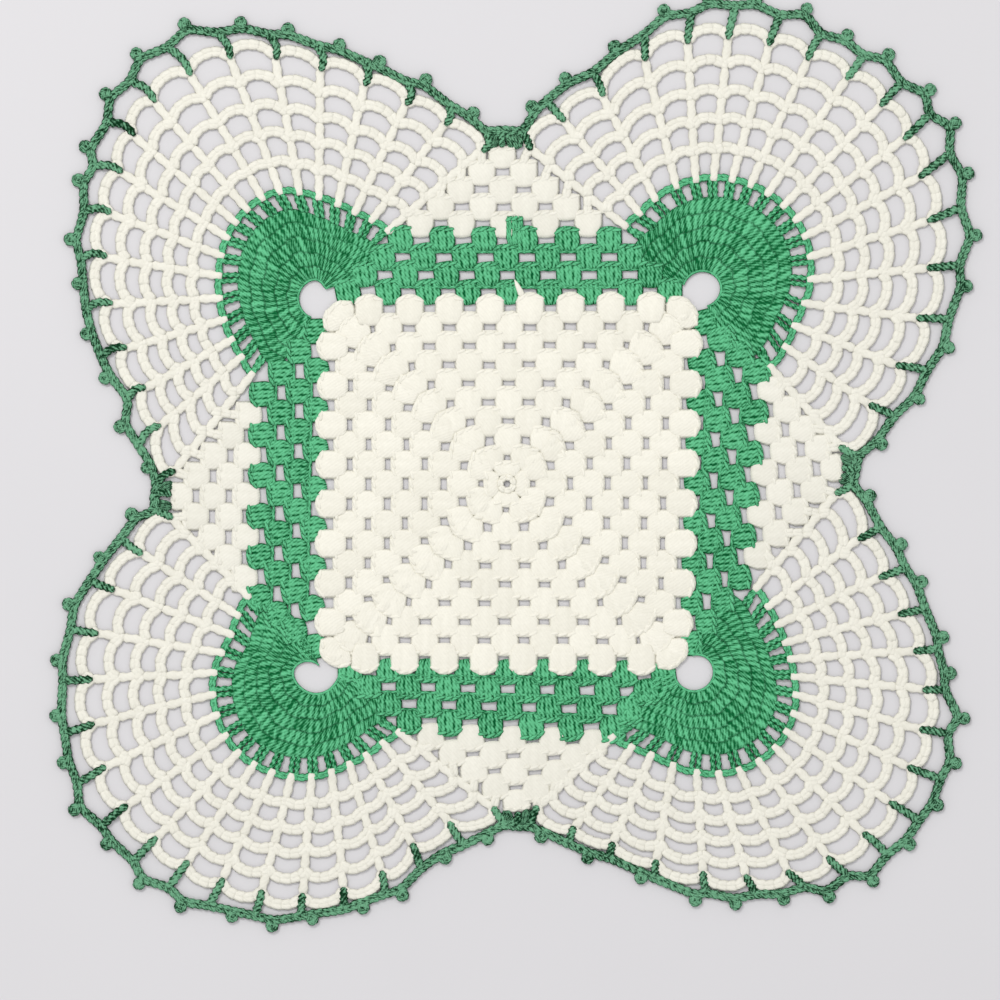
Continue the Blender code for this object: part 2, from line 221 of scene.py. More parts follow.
# The narrow cluster that stands out of the top side: foot and head, widths.
TALL_CLUSTER = ((1.4, 84.5), (1.3, 95.9))
TALL_WIDTHS = (5.0, 6.4)

# Fans: stitches in each round from the eyelet outwards, how far round the first goes and how much less the last.
FAN_RIBS = (24, 31, 37, 42, 46)
FAN_SWEEP = (238.0, 34.0)

# Open round of a fan: its depth, how far its stitches reach into the fan and stop short of the rim, how far apart
# a pair stands at foot and head and how far it leans, as shares of the way to the next post, and the rim's chain.
SLOT_DEPTH = 8.2
SLOT_LAP = 0.9
SLOT_TOP = 1.9
SLOT_SPREAD = (0.165, 0.15)
SLOT_LEAN = 0.2
TOP_LEFT_LEAN = 0.12
RIM_INSET = 1.75
RIM_SCALLOP = 0.65

# Triangle of ivory clusters on each side, as shares of the way from the rim to the notch.
TRIANGLE_FIRST_TOP = 0.24
TRIANGLE_PITCH = 0.2
TRIANGLE_LAST_TOP = 0.985


# Lobes, as in the solids


def polar(angles):
    """Unit vectors (cos a, sin a) at angles in degrees."""
    turn = np.radians(angles)
    return np.stack((np.cos(turn), np.sin(turn)), axis=-1)


def unit(vectors):
    """Each vector divided by its length."""
    return vectors / np.linalg.norm(vectors, axis=-1, keepdims=True)


def left_of(vectors):
    """The vectors (x, y) turned a quarter counter-clockwise, to (-y, x)."""
    return np.stack((-vectors[..., 1], vectors[..., 0]), axis=-1)


def smooth(at, places, values):
    """Cubic curve through a table's rows, with the slope of the rows around each one."""
    slopes = np.gradient(values, places)
    row = np.clip(np.searchsorted(places, at, side="right") - 1, 0, len(places) - 2)
    span = places[row + 1] - places[row]
    t = (at - places[row]) / span
    start = values[row] * (1 + 2 * t) * (1 - t) ** 2 + slopes[row] * span * t * (1 - t) ** 2
    end = values[row + 1] * t * t * (3 - 2 * t) + slopes[row + 1] * span * t * t * (t - 1)
    return start + end


def lobe_value(lobe, column, post):
    """A measured column of a lobe's table at any posts, whole or between two."""
    table = np.array(LOBES[lobe][1], dtype=float)
    return smooth(np.asarray(post, dtype=float), table[:, 0], table[:, column])


def lobe_point(lobe, post, radius):
    """The lobe's centre and a radius along the post's angle."""
    return np.array(LOBES[lobe][0]) + np.asarray(radius)[..., None] * polar(lobe_value(lobe, 1, post))


def level_radius(lobe, post, level):
    """Radius of the chain between two rounds, from the rim, level 0, to the edge, level 5."""
    rim = lobe_value(lobe, 2, post)
    edge = lobe_value(lobe, 3, post) - CHAIN_WIDTH / 2
    return rim + ROUND_SHARES[level] * (edge - rim)


def arc_rise(lobe, post, level):
    """How far the chain swings out between each post and the next one, short of the edging's chain."""
    start = lobe_point(lobe, post, level_radius(lobe, post, level))
    end = lobe_point(lobe, post + 1, level_radius(lobe, post + 1, level))
    rise = ARC_RISE * np.linalg.norm(end - start, axis=-1)
    if level < len(ROUND_SHARES) - 1:
        return rise
    between = post + 0.5
    room = lobe_value(lobe, 5, between) - lobe_value(lobe, 3, between) - RING_WIDTH / 2 - ARC_ROOM
    return np.minimum(rise, room)


def round_chain(lobe, level, steps=24):
    """The chain of one round of the net: along the posts' ring, out between each two posts in a square-shouldered U.

    At a share t between two posts the chain stands out by rise (1 - |2 t - 1|^2.6)^0.6.
    """
    at = np.linspace(0, POSTS - 1, (POSTS - 1) * steps + 1)
    post = np.minimum(np.floor(at), POSTS - 2)
    swing = (1 - np.abs(2 * (at - post) - 1) ** 2.6) ** 0.6
    radius = level_radius(lobe, at, level) + arc_rise(lobe, post, level) * swing
    return lobe_point(lobe, at, radius)


# Strands of yarn

# The share of a strand's length over which it tapers at either end.
TAPER_SHARE = 0.16


def tube_faces(count, stations, sides):
    """Faces of four corners round some closed tubes, and those across both ends of each."""
    number = np.arange(count * stations * sides).reshape(count, stations, sides)
    around = np.roll(number, -1, axis=2)
    walls = np.stack((number[:, :-1], number[:, 1:], around[:, 1:], around[:, :-1]), axis=-1)
    low = np.arange(sides // 2 - 1)
    cap = np.stack((low, low + 1, sides - 2 - low, sides - 1 - low), axis=-1)
    caps = np.concatenate((number[:, 0][:, cap], number[:, -1][:, cap[:, ::-1]]), axis=1)
    return walls.reshape(-1, 4), caps.reshape(-1, 4)


def strands(paths, half_width, half_height, sides=8, turns=0.0, waist=0.0, first_turn=0.0, tip=0.45):
    """Closed strands, one for each path.

    At a share s of the way and an angle a round it, a strand's surface is path(s) + r (w cos a side + h sin a up),
    with r = taper(s) (1 - waist sin^2(a - twist(s))). A waist of zero gives an oval cord, and a larger one gives
    two plies that turn round each other. The taper is a quarter ellipse at either end. A size is one number, or one
    for each station of each strand.
    """
    count, stations = paths.shape[:2]
    along = unit(np.gradient(paths, axis=1))
    side = unit(np.stack((along[..., 1], -along[..., 0], np.zeros((count, stations))), axis=2))
    up = np.cross(side, along)
    share = np.linspace(0, 1, stations)
    inset = np.clip(np.minimum(share, 1 - share) / TAPER_SHARE, 0, 1)
    taper = np.maximum(np.sqrt(1 - (1 - inset) ** 2), tip)
    angle = np.arange(sides) * 2 * np.pi / sides
    twist = first_turn + 2 * np.pi * turns * share
    fold = waist * np.sin(angle - twist[..., None]) ** 2
    ring = taper[:, None] * (1 - fold)
    wide = np.asarray(half_width)[..., None] * np.cos(angle) * ring
    high = np.asarray(half_height)[..., None] * np.sin(angle) * ring
    points = paths[:, :, None] + side[:, :, None] * wide[..., None] + up[:, :, None] * high[..., None]
    # Painted shade: the crest is 1 on top of the strand and 0 underneath and in the folds between its plies, so the
    # colour is painted darker there.
    crest_and_painted_shade = 0.9 * np.maximum(np.sin(angle), 0) * (1 - 1.3 * fold)

    walls, caps = tube_faces(count, stations, sides)
    faces = np.concatenate((walls, caps))
    run = np.linalg.norm(np.diff(paths, axis=1), axis=2).cumsum(axis=1)
    run = np.concatenate((np.zeros((count, 1)), run), axis=1) + rng.uniform(0, 40, (count, 1))
    turn = np.arange(sides + 1) / sides
    walls_v = np.stack((turn[:-1], turn[:-1], turn[1:], turn[1:]), axis=-1)
    v = np.concatenate((np.tile(walls_v, (count * (stations - 1), 1)), caps % sides / sides))
    return {
        "points": points.reshape(-1, 3),
        "faces": faces,
        "uv": np.stack((np.repeat(run.ravel(), sides)[faces], v), axis=-1),
        "shade": np.repeat(rng.uniform(0, 1, count), stations * sides),
        "crest_and_painted_shade": np.broadcast_to(crest_and_painted_shade, (count, stations, sides)).ravel(),
    }


def placed(name, data, place=(0.0, 0.0, 0.0)):
    """An object of the scene, at a place in metres."""
    made = bpy.data.objects.new(name, data)
    made.location = place
    bpy.context.scene.collection.objects.link(made)
    return made


def piece(name, parts, material):
    """One mesh of all the strands, its points in metres.

    Each strand has a shade of its own, a random tone, and the crest is 1 on top of it and 0 in the folds and
    underneath: the colour is painted darker in the folds and underneath as painted shade.
    """
    starts = np.cumsum([0] + [len(part["points"]) for part in parts[:-1]])
    faces = np.concatenate([part["faces"] + start for part, start in zip(parts, starts)])
    yarn = {kind: np.concatenate([part[kind] for part in parts]) for kind in ("points", "uv", "shade", "crest_and_painted_shade")}
    mesh = bpy.data.meshes.new(name)
    mesh.vertices.add(len(yarn["points"]))
    mesh.vertices.foreach_set("co", (yarn["points"] * MM).astype(np.float32).ravel())
    mesh.loops.add(faces.size)
    mesh.loops.foreach_set("vertex_index", faces.astype(np.int32).ravel())
    mesh.polygons.add(len(faces))
    mesh.polygons.foreach_set("loop_start", np.arange(0, faces.size, 4, dtype=np.int32))
    mesh.polygons.foreach_set("use_smooth", np.ones(len(faces), dtype=bool))
    mesh.update(calc_edges=True)
    layer = mesh.uv_layers.new(name="yarn")
    layer.data.foreach_set("uv", yarn["uv"].astype(np.float32).ravel())
    for kind in ("shade", "crest_and_painted_shade"):
        values = mesh.attributes.new(kind, "FLOAT", "POINT")
        values.data.foreach_set("value", yarn[kind].astype(np.float32))
    mesh.validate()
    mesh.materials.append(material)
    return placed(name, mesh)


# Stitches

# Rings of points along a tall stitch, along a leg of the edging and along an arm of a chain stitch.
STITCH_STATIONS = 9
LEG_STATIONS = 13
ARM_STATIONS = 5

# The arms of a chain stitch start a share of its width apart, and open by a further share.
ARM_OPENING = (0.08, 0.12)

# Chains: the net's, the joins beside the triangles, the ring in the square's middle, the band's rim, the edging's.
NET_CHAIN = {"pitch": 3.4, "width": 3.9, "thick": 1.32, "height": 0.84, "drop": 0.15, "tip": 0.85}
JOIN_CHAIN = {"pitch": 3.4, "width": 3.4, "thick": 1.1, "height": 0.84, "drop": 0.15, "tip": 0.8}
START_CHAIN = {"pitch": 2.3, "width": 2.6, "thick": 0.75, "height": 1.3}
RIM_CHAIN = {"pitch": 2.4, "width": 3.2, "thick": 0.85, "height": 1.1}
RING_CHAIN = {"pitch": 2.6, "width": 4.2, "thick": 0.98, "height": 1.15}


def at_height(flat, height):
    """Points (x, y) with a height z each."""
    height = np.broadcast_to(height, flat.shape[:-1])
    return np.concatenate((flat, height[..., None]), axis=-1)


def stitches(feet, heads, half_width, half_height, height, turns, bow=0.0, lift=0.12, waist=0.42,
             stations=STITCH_STATIONS, tip=0.45):
    """Tall stitches from foot to head: two plies that turn round each other.

    The path is foot + s (head - foot) + bow sin(pi s) across. Its height is raised by lift sin(pi s), and over
    the first quarter it comes up from 0.22 below.
    """
    share = np.linspace(0, 1, stations)
    line = feet[:, None] + share[:, None] * (heads - feet)[:, None]
    across = left_of(unit(heads - feet))
    line = line + (np.reshape(bow, (-1, 1)) * np.sin(np.pi * share))[..., None] * across[:, None]
    foot_drop = 0.22 * (1 - np.clip(share * 4, 0, 1))
    path = at_height(line, height + lift * np.sin(np.pi * share) - foot_drop)
    first_turn = rng.uniform(0, np.pi, len(feet))[:, None]
    return strands(path, half_width, half_height, turns=turns, waist=waist, first_turn=first_turn, tip=tip)


def loops(starts, ends, width, thick, height, drop=0.3, tip=0.55):
    """Chain stitches from start to end, each two plump arms that leave one point and open to a V.

    With s from 0 to 1, an arm's path is start + (1.25 s - 0.25) (end - start) +- width (a + b sin(1.75 s)) across,
    and it lies lower by drop (1 - sin(pi s)).
    """
    share = np.linspace(0, 1, ARM_STATIONS)
    across = left_of(unit(ends - starts))
    line = starts[:, None] + (1.25 * share - 0.25)[:, None] * (ends - starts)[:, None]
    reach = np.reshape(width, (-1, 1)) * (ARM_OPENING[0] + ARM_OPENING[1] * np.sin(1.75 * share))
    level = np.reshape(height, (-1, 1)) - drop * (1 - np.sin(np.pi * share))
    arms = []
    for hand in (-1, 1):
        path = at_height(line + hand * reach[..., None] * across[:, None], level)
        arms.append(strands(path, thick, np.minimum(thick * 0.75, 0.64), sides=6, tip=tip))
    return arms


def ring_of(line):
    """A line of points with its first point again at the end."""
    return np.concatenate((line, line[:1]))


def run_along(line):
    """Length along a line of points, from the first to each."""
    return np.concatenate(([0], np.linalg.norm(np.diff(line, axis=0), axis=1).cumsum()))


def at_marks(line, marks):
    """Points of a line at lengths along it."""
    run = run_along(line)
    return np.stack([np.interp(marks, run, line[:, axis]) for axis in (0, 1)], axis=1)


def chain(line, pitch, width, thick, height, closed=False, drop=0.3, tip=0.55):
    """A line of chain stitches a pitch apart, or nearly, each a little wider and higher than the next or less so."""
    if closed:
        line = ring_of(line)
    length = run_along(line)[-1]
    places = at_marks(line, np.linspace(0, length, max(2, int(round(length / pitch)) + 1)))
    width = width * (1 + rng.normal(0, 0.05, len(places) - 1))
    height = height + rng.normal(0, 0.05, len(places) - 1)
    return loops(places[:-1], places[1:], width, thick, height, drop, tip)


# A cluster's grid: shares of the way from foot to head, places across from one edge to the other, how full it is
# there, and how deep the folds are between its three stitches. The plied one also folds between its plies.
PLIED_GRID = (
    np.linspace(0, 1, 9),
    np.linspace(-1, 1, 13),
    (0.0, 0.86, 1.0, 1.0, 1.0, 1.0, 1.0, 1.0, 1.0, 1.0, 1.0, 0.86, 0.0),
    (0.0, 0.06, 0.45, 0.0, 0.8, 0.0, 0.42, 0.0, 0.8, 0.0, 0.45, 0.06, 0.0),
)
SOFT_GRID = (
    np.array((0, 0.12, 0.45, 0.88, 1)),
    np.array((-1, -0.8, -0.33, 0, 0.33, 0.8, 1)),
    (0.0, 0.95, 1.0, 1.0, 1.0, 0.95, 0.0),
    (0.0, 0.06, 0.8, 0.0, 0.8, 0.06, 0.0),
)

# The ivory clusters are softer than the green ones: shallower folds, and loops that hardly stand over the stitches.
IVORY = {"fold": 0.4, "high": 0.75, "thick": 0.8, "crown": 0.0, "grid": SOFT_GRID}


def puffs(feet, heads, foot_width, head_width, round_off, fold, low, high, grid, depth=0.5):
    """The three stitches of a cluster as one soft body, narrow where it is worked in and wide from there on.

    At a share s of the way and p from -1 to 1 across, a point is foot + s (head - foot) + p w(s) / 2 along the row
    + p^2 ((1 - s) / 2 - s round_off) the way the stitches run. w goes from the foot's width to the head's over the
    first 0.35. The height is low + high h(s) ridge(p) on top and low - depth h(s) ridge(p) below, with
    h(s) = (1 - (2 s - 1)^6)^(1/2), no less than 0.4, and ridge = full (1 - fold folds), where the folds come and
    go along the cluster as 1 + 0.45 cos(2 pi (2.3 s + a random start)).
    """
    share, across, fullness, creases = (np.array(value) for value in grid)
    count, stations, lanes = len(feet), len(share), len(across)
    out = unit(heads - feet)
    row = -left_of(out)
    widen = np.clip(share / 0.35, 0, 1)
    widen = widen * widen * (3 - 2 * widen)
    foot_width, head_width, round_off = (np.reshape(value, (-1, 1)) for value in (foot_width, head_width, round_off))
    half = (foot_width + (head_width - foot_width) * widen) / 2
    centre = feet[:, None] + share[:, None] * (heads - feet)[:, None]
    inset = 0.5 * (1 - share)[:, None] * across ** 2 - round_off[..., None] * share[:, None] * across ** 2
    flat = (centre[:, :, None] + (half[..., None] * across)[..., None] * row[:, None, None]
            + inset[..., None] * out[:, None, None])
    full = fullness * (1 + rng.normal(0, 0.05, (count, 1, lanes)))
    wave = 1 + 0.45 * np.cos(2 * np.pi * (2.3 * share[:, None] + rng.uniform(0, 1, (count, 1, lanes))))
    folds = np.clip(fold * creases * wave + rng.uniform(0, 0.06, (count, stations, lanes)), 0, 1)
    ridges = full * (1 - folds)
    swell = np.maximum(np.sqrt(np.maximum(1 - (2 * share - 1) ** 6, 0)), 0.4)[:, None]
    low = np.reshape(low, (-1, 1, 1))
    top = at_height(flat, low + high * swell * ridges)
    below = at_height(flat, low - depth * swell * ridges)[:, :, -2:0:-1]
    points = np.concatenate((top, below), axis=2)
    sides = points.shape[2]
    # Painted shade: the colour is lighter on top where the cluster is full and swells, darker in its folds and at its
    # ends, and darker still underneath, at 0.2.
    upper = fullness * (1 - folds) * (0.35 + 0.65 * swell)
    crest_and_painted_shade = np.concatenate((upper, np.full((count, stations, lanes - 2), 0.2)), axis=2)

    walls, caps = tube_faces(count, stations, sides)
    # These points go round the other way than a strand's, so each face is turned over.
    faces = np.concatenate((np.roll(walls[:, ::-1], 1, axis=1), caps[:, ::-1]))
    length = np.linalg.norm(heads - feet, axis=1)[:, None, None] * share[:, None] + rng.uniform(0, 40, (count, 1, 1))
    u = np.broadcast_to(length, (count, stations, sides)).ravel()
    lane = np.concatenate((across, across[-2:0:-1]))
    v = np.broadcast_to(0.75 * (lane + 1), (count, stations, sides)).ravel()
    return {
        "points": points.reshape(-1, 3),
        "faces": faces,
        "uv": np.stack((u[faces], v[faces]), axis=-1),
        "shade": np.repeat(rng.uniform(0, 1, count), stations * sides),
        "crest_and_painted_shade": crest_and_painted_shade.ravel(),
    }


def clusters(feet, heads, foot_width, head_width, round_off, fold=1.0, low=0.75, high=0.95, thick=0.7, crown=0.2,
             grid=PLIED_GRID):
    """Clusters of three stitches, each with a row of slanted loops along its head, one for each stitch.

    A loop is a closed strand of the given thickness that crosses the head at a slant of 1.3, and the outer two
    follow the head's round-off. The crown says how far the loops stand over the stitches.
    """
    count = len(feet)
    feet = feet + rng.normal(0, 0.12, feet.shape)
    heads = heads + rng.normal(0, 0.15, heads.shape)
    foot_width, head_width, round_off, low = (np.broadcast_to(value, (count,)) for value in
                                              (foot_width, head_width, round_off, low))
    out = unit(heads - feet)
    row = -left_of(out)
    parts = [puffs(feet, heads, foot_width, head_width, round_off, fold, low, high, grid)]
    share = np.linspace(-0.5, 0.5, ARM_STATIONS)
    for j in (-1, 0, 1):
        drop = round_off * (0.45 * abs(j)) + 1.1 + rng.normal(0, 0.1, count)
        middle = heads + row * (j * head_width / 3.3)[:, None] - out * drop[:, None]
        reach = (head_width * 0.36)[:, None, None] * share[:, None] * row[:, None]
        slant = (1.3 * share[None] - j * round_off[:, None] * 0.85 * share)[..., None] * out[:, None]
        hump = low[:, None] + 0.9 * high - 0.8 * thick + crown + 0.15 * np.cos(np.pi * share)
        path = at_height(middle[:, None] + reach + slant, hump)
        parts.append(strands(path, thick, thick * 0.8, sides=6, tip=0.55))
    return parts


# Centre square


def quarter_turns(points, turns):
    """Points (x, y) turned by whole quarters."""
    for _ in range(turns):
        points = left_of(points)
    return points


def side_shift(side, at):
    """How far a side of the real square lies from the ideal one, at places along it, as a straight line."""
    span = (SQUARE_BUMPS - 1) * CLUSTER_PITCH / 2
    ideal = quarter_turns(np.array(((span, IDEAL_HALF), (-span, IDEAL_HALF))), side)
    first, last = np.array(list(SQUARE_SIDES.values())[side]) - ideal
    share = ((span - np.asarray(at)) / (2 * span))[..., None]
    return first * (1 - share) + last * share


def settle(points):
    """Ideal square to the real one: each side's shift, blended across the square and less the corners' own.

    The sides go round from the top one. Each is looked at with the square turned so that the side is on top.
    """
    turned = [quarter_turns(points, -side % 4) for side in range(4)]
    near = [(1 + view[..., 1:] / IDEAL_HALF) / 2 for view in turned]
    moved = points
    for side, after in ((0, 1), (1, 2), (2, 3), (3, 0)):
        corner = (side_shift(side, -IDEAL_HALF) + side_shift(after, IDEAL_HALF)) / 2
        moved = moved + near[side] * side_shift(side, turned[side][..., 0]) - near[side] * near[after] * corner
    return moved


def centre_square():
    """Ten rounds: round n has n clusters on each side, the outer two leaning out from the corner spaces."""
    length, foot_width, head_width = SQUARE_CLUSTER
    feet, heads = [], []
    for number in range(1, SQUARE_ROUNDS + 1):
        radius = FIRST_ROUND_TOP + ROUND_PITCH * (number - 1)
        along = (np.arange(number) - (number - 1) / 2) * CLUSTER_PITCH
        head = np.stack((along, np.full(number, radius)), axis=1)
        foot = np.stack((along, np.full(number, max(radius - length, FIRST_ROUND_FOOT))), axis=1)
        if number > 1:
            corner = CORNER_HOLE + ROUND_PITCH * (number - 2)
            drawn_in, drawn_down = CORNER_DRAW if number < SQUARE_ROUNDS else LAST_CORNER_DRAW
            for end, hand in ((0, -1), (-1, 1)):
                foot[end] = (hand * (corner - CORNER_LEAN), corner)
                head[end] = (hand * (abs(along[end]) - drawn_in), radius - drawn_down)
        for turns in range(4):
            feet.append(quarter_turns(foot, turns))
            heads.append(quarter_turns(head, turns))
    feet, heads = settle(np.concatenate(feet)), settle(np.concatenate(heads))
    last = (np.arange(len(feet)) >= len(feet) - 4 * SQUARE_ROUNDS).astype(int)
    ring = polar(np.linspace(0, 360, 40, endpoint=False)) * START_RING
    start = chain(settle(ring), **START_CHAIN, closed=True)
    steps = len(LOOSE_END_HEIGHTS)
    path = np.array(LOOSE_END[0]) + np.linspace(0, 1, steps)[:, None] * np.subtract(*LOOSE_END[::-1])
    half_width = np.linspace(*LOOSE_END_WIDTHS, steps)[None]
    start.append(strands(at_height(path[None], LOOSE_END_HEIGHTS), half_width, 0.5, tip=0.3))
    return clusters(feet, heads, foot_width, head_width, np.take(SQUARE_ROUND_OFF, last),
                    low=np.take(SQUARE_LOW, last), **IVORY) + start


# Green band


def side_frame(lobe, place, share):
    """Point on a side of the band: place counts clusters, share runs from the square's bumps to the rim."""
    first, last = (np.array(point) for point in SIDES[lobe][:2])
    bump, end = (np.array(point) for point in SQUARE_SIDES[lobe])
    pitch = (end - bump) / (SQUARE_BUMPS - 1)
    place, share = np.asarray(place)[..., None], np.asarray(share)[..., None]
    inner = bump + pitch * (place + BUMPS_BEFORE)
    outer = first + (last - first) * place / (SIDE_CLUSTERS - 1)
    return inner * (1 - share) + outer * share


def band_side(lobe):
    """Four rounds of clusters, each half a cluster along from the one before, on chains between them."""
    length, head_width = BAND_CLUSTER
    parts = []
    depth = np.linalg.norm(side_frame(lobe, 2, 1) - side_frame(lobe, 2, 0))
    for row, (first, count, foot_width, low, high, round_off) in enumerate(BAND_ROWS):
        place = first + np.arange(count)
        top = BAND_FIRST_TOP + BAND_PITCH * row
        heads = side_frame(lobe, place, top)
        feet = side_frame(lobe, place, top - length / depth)
        parts.extend(clusters(feet, heads, foot_width, head_width, round_off, low=low, high=high))
        if row < len(BAND_ROWS) - 1:
            cord = side_frame(lobe, np.linspace(place[0], place[-1], 60), top - CORD_SHARE)
            parts.append(strands(at_height(cord[None], CORD_HEIGHT), 0.8, 0.55, turns=14, waist=0.4))
    feet, heads = (side_frame(lobe, END_TEETH, share) for share in TOOTH_REACH)
    parts.extend(clusters(feet, heads, *TOOTH_WIDTHS, 0.4, low=0.52, high=0.62, thick=0.6))
    if lobe == "top_right":
        foot, head = np.array(TALL_CLUSTER)[:, None]
        parts.extend(clusters(foot, head, *TALL_WIDTHS, 0.3, low=0.9))
    return parts


def eyelet_radius(lobe, angle):
    """How far the eyelet's edge lies from the fan's centre: an ellipse, moved by its own centre."""
    middle, half_width, half_height = EYELETS[lobe]
    shift = np.array(middle) - np.array(LOBES[lobe][0])
    turn = np.radians(angle)
    reach = half_width * half_height / np.hypot(half_height * np.cos(turn), half_width * np.sin(turn))
    return polar(angle) @ shift + reach


def fan_edge(lobe, turn, share):
    """Points of a fan at a turn from its middle, share 0 at the eyelet's edge and 1 where the open round begins."""
    posts = np.linspace(0, POSTS - 1, 69)
    angles = lobe_value(lobe, 1, posts)
    angle = (angles[0] + angles[-1]) / 2 + turn
    rim = np.interp(angle, angles, lobe_value(lobe, 2, posts))
    inner = eyelet_radius(lobe, angle)
    radius = inner + share * (rim - SLOT_DEPTH - inner)
    return np.array(LOBES[lobe][0]) + radius[..., None] * polar(angle)


def fan(lobe):
    """Five close rounds of stitches that radiate from the eyelet, on a cord along its edge.

    With p the place among a round's ribs, n the round and t the way through it, and p and t wandering by 0.12 and
    0.1, the stitches are c = strength (0.15 + 0.85 rib) (0.62 + 0.38 ply) (1 - 0.6 seam). There q = p + n / 2,
    rib = ((1 + cos(2 pi q)) / 2)^0.7, ply = (1 + cos(2 pi (2 q +- 1.5 t))) / 2, its sign changing from round to
    round, and seam = exp(-(t / 0.13)^2). The height on top is 0.6 + e (0.25 + 0.75 c) and below 0.6 - 0.4 e, with
    e = (lane / 3)^0.5, no more than 1, at a lane counted from the border.
    """
    rounds = len(FAN_RIBS)
    columns, rows = FAN_RIBS[-1] * 6 + 1, rounds * 8 + 1
    across = np.linspace(-1, 1, columns)[None]
    way = np.linspace(0, 1, rows)[:, None]
    turn = across * (FAN_SWEEP[0] - FAN_SWEEP[1] * way ** 2) / 2
    flat = fan_edge(lobe, turn, way)
    tier = np.clip(way * rounds + 0.1 * np.sin(across * 24 + way * 5), 0, rounds - 1e-6)
    number = np.floor(tier).astype(int)
    t = tier - number
    place = np.array(FAN_RIBS)[number] * (across + 1) / 2 + 0.12 * np.sin(across * 31 + way * 9)
    q = place + number / 2
    strength = rng.uniform(0.68, 1.0, (rounds, FAN_RIBS[-1] + 4))[number, np.round(q).astype(int)]
    rib = (0.5 + 0.5 * np.cos(2 * np.pi * q)) ** 0.7
    ply = 0.5 + 0.5 * np.cos(2 * np.pi * (2 * q + 1.5 * t * np.where(number % 2 == 0, 1, -1)))
    seam = np.exp(-(t / 0.13) ** 2)
    # c sets the web's height and is also its painted shade: the colour is darker between the ribs and at the seams.
    crest_and_painted_shade = strength * (0.15 + 0.85 * rib) * (0.62 + 0.38 * ply) * (1 - 0.6 * seam)
    border = np.minimum.outer(np.minimum(np.arange(rows), np.arange(rows)[::-1]),
                              np.minimum(np.arange(columns), np.arange(columns)[::-1]))
    rise = np.clip(border / 3, 0, 1) ** 0.5
    top = at_height(flat, 0.6 + rise * (0.25 + 0.75 * crest_and_painted_shade))
    below = at_height(flat, 0.6 - 0.4 * rise)[1:-1, 1:-1]

    upper = np.arange(rows * columns).reshape(rows, columns)
    lower = upper.copy()
    lower[1:-1, 1:-1] = rows * columns + np.arange((rows - 2) * (columns - 2)).reshape(rows - 2, columns - 2)
    faces = np.concatenate((
        np.stack((upper[:-1, :-1], upper[1:, :-1], upper[1:, 1:], upper[:-1, 1:]), axis=-1).reshape(-1, 4),
        np.stack((lower[:-1, :-1], lower[:-1, 1:], lower[1:, 1:], lower[1:, :-1]), axis=-1).reshape(-1, 4)))
    run = np.linalg.norm(flat - np.array(LOBES[lobe][0]), axis=2)
    u, v, strength, crest_and_painted_shade = (np.concatenate((value.ravel(), value[1:-1, 1:-1].ravel()))
                             for value in (run, place * 0.4, strength, crest_and_painted_shade))
    web = {
        "points": np.concatenate((top.reshape(-1, 3), below.reshape(-1, 3))),
        "faces": faces,
        "uv": np.stack((u[faces], v[faces]), axis=-1),
        "shade": (strength - 0.7) / 0.3,
        # Painted shade: the underside takes 0.3 of the top's value, so its colour is darker.
        "crest_and_painted_shade": (0.13 + crest_and_painted_shade) * np.repeat((1.0, 0.3), (rows * columns, (rows - 2) * (columns - 2))),
    }
    edge = fan_edge(lobe, np.linspace(-FAN_SWEEP[0] / 2, FAN_SWEEP[0] / 2, 49), 0.015)
    return [web, strands(at_height(edge[None], 0.7), 0.5, 0.5, tip=0.7)]


def open_round(lobe):
    """Pairs of stitches under each of the net's posts with a slot between them, and the chain of the rim.

    They lean out from the fan's middle, or all one way in the top left lobe.
    """
    posts = np.arange(POSTS)
    last = POSTS - 1
    lean = TOP_LEFT_LEAN if lobe == "top_left" else (2 * posts / last - 1) * SLOT_LEAN
    radius = lobe_value(lobe, 2, posts)
    feet, heads = [], []
    for hand in (-1, 1):
        foot_at = np.clip(posts + hand * SLOT_SPREAD[0] - lean, 0, last)
        head_at = np.clip(posts + hand * SLOT_SPREAD[1] + lean, 0, last)
        feet.append(lobe_point(lobe, foot_at, radius - SLOT_DEPTH - SLOT_LAP))
        heads.append(lobe_point(lobe, head_at, radius - SLOT_TOP))
    parts = [stitches(np.concatenate(feet), np.concatenate(heads), 1.2, 0.72, height=1.0, turns=1.5)]
    at = np.linspace(0, last, last * 12 + 1)
    rim = lobe_point(lobe, at, lobe_value(lobe, 2, at) - RIM_INSET + RIM_SCALLOP * np.abs(np.sin(np.pi * at)))
    return parts + chain(rim, **RIM_CHAIN)


# Ivory net

# Posts: half width, how far feet and heads pass the chains, and height. Those of the first round reach further in,
# over the rim, and come down from it over a share of their length.
POST_HALF_WIDTH = 1.85
POST_LAPS = (0.2, 0.3)
POST_HEIGHT = 0.72
FOOT_REACH = 2.6
HOOK_RISE = 1.15
HOOK_SHARE = 0.45

# How far the joins beside the triangles bow towards the notch.
JOIN_BOW = 1.6


def net_posts(lobe):
    """Tall stitches between the chains, one on each post in each round; the first round's hook over the rim."""
    parts = []
    posts = np.arange(POSTS)
    hook = np.clip(1 - np.linspace(0, 1, STITCH_STATIONS) / HOOK_SHARE, 0, 1)
    for level in range(1, len(ROUND_SHARES)):
        inside = np.clip(posts + rng.normal(0, 0.02, POSTS), 0, POSTS - 1)
        lap, hooked = (FOOT_REACH, hook) if level == 1 else (POST_LAPS[0], 0 * hook)
        foot = lobe_point(lobe, inside, level_radius(lobe, inside, level - 1) - lap)
        head = lobe_point(lobe, posts, level_radius(lobe, posts, level) + POST_LAPS[1])
        half_width = POST_HALF_WIDTH * (1 - 0.15 * hooked)[None]
        parts.append(stitches(foot, head, half_width, 0.6, POST_HEIGHT + HOOK_RISE * hooked, 1.2, waist=0.25, tip=0.7))
    return parts


